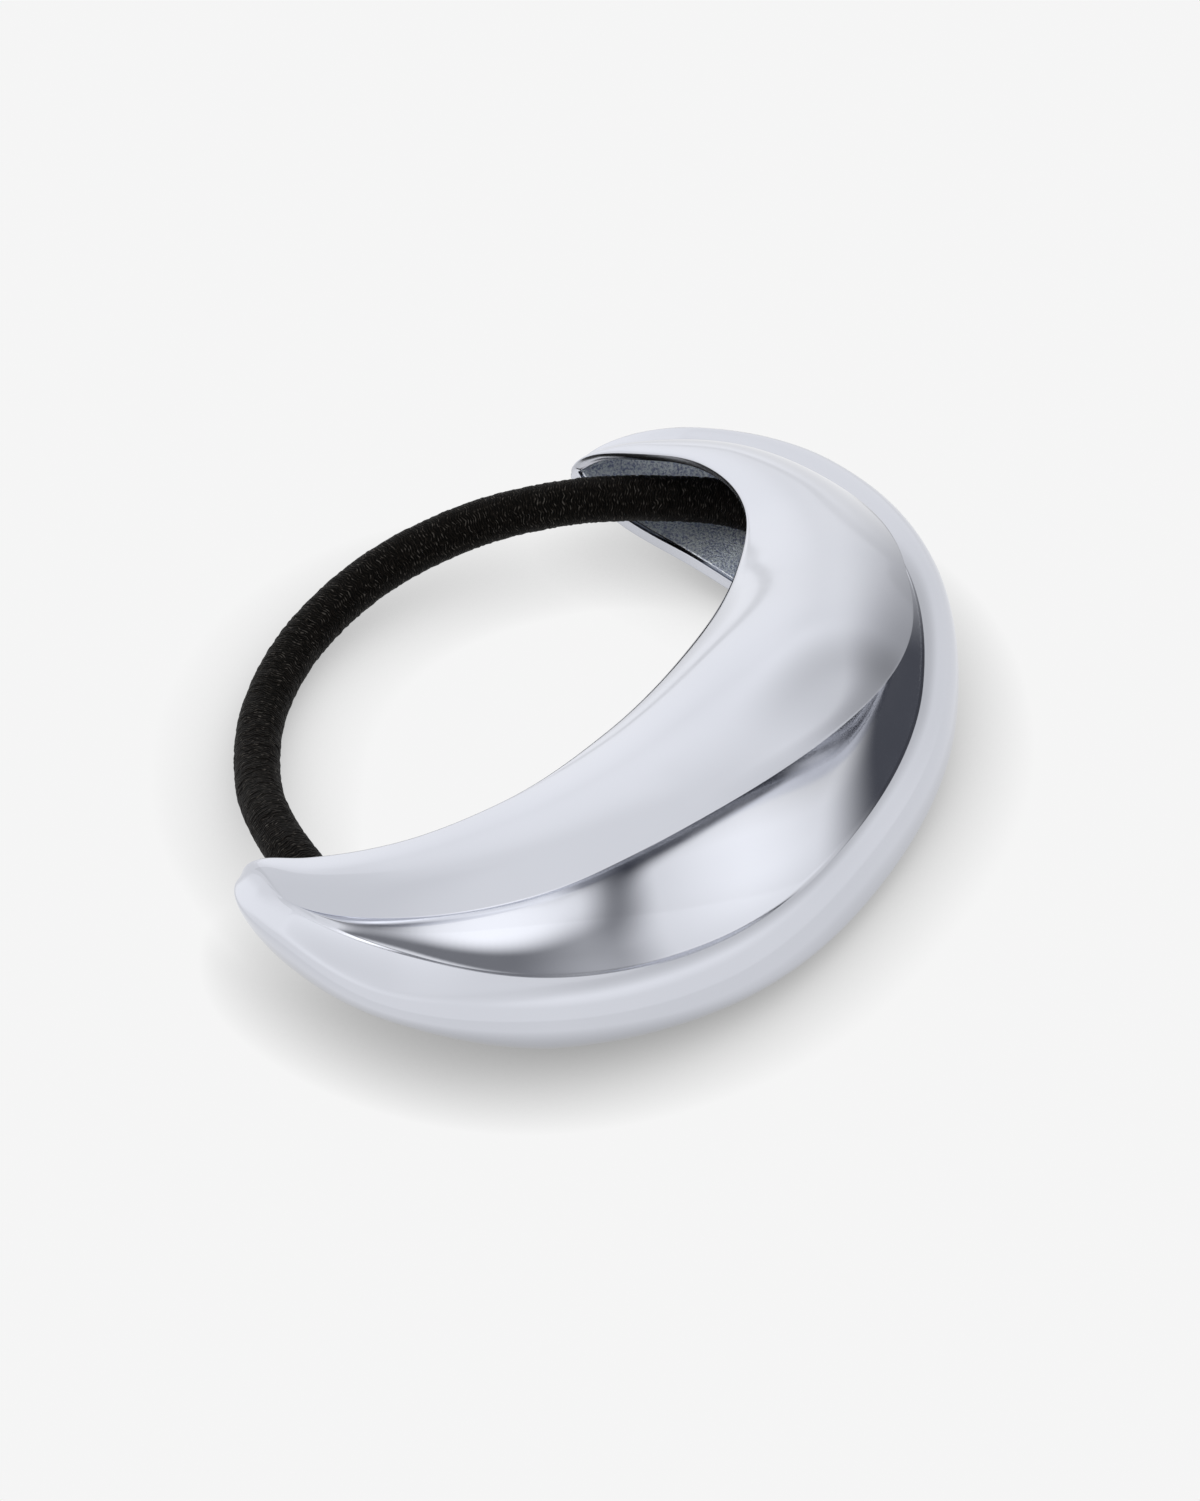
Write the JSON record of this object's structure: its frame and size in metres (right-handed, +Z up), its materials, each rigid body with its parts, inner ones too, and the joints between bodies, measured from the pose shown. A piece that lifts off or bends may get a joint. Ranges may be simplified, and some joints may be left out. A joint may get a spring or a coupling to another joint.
{
  "type": "ponytail cuff",
  "caption": "Hollow crescent hair cuff of polished metal with a domed leaf over a convex band, worn round a ponytail on a black elastic.",
  "frame": {"origin": "middle of the shell's footprint on the surface that it rests on", "axes": "+X across the opening from one tip to the other, -Y towards the belly, +Z up and along the ponytail"},
  "size_m": [0.0744, 0.0565, 0.0253],
  "materials": {
    "polished_metal": "mirror polished outside, grainy cast surface inside the hollow",
    "black_elastic": "wound black yarn over rubber",
    "sleeve_metal": "plain crimped sheet"
  },
  "bodies": {
    "root": {"shell": "polished_metal", "elastic": "black_elastic", "elastic_sleeve": "sleeve_metal"}
  },
  "joints": []
}
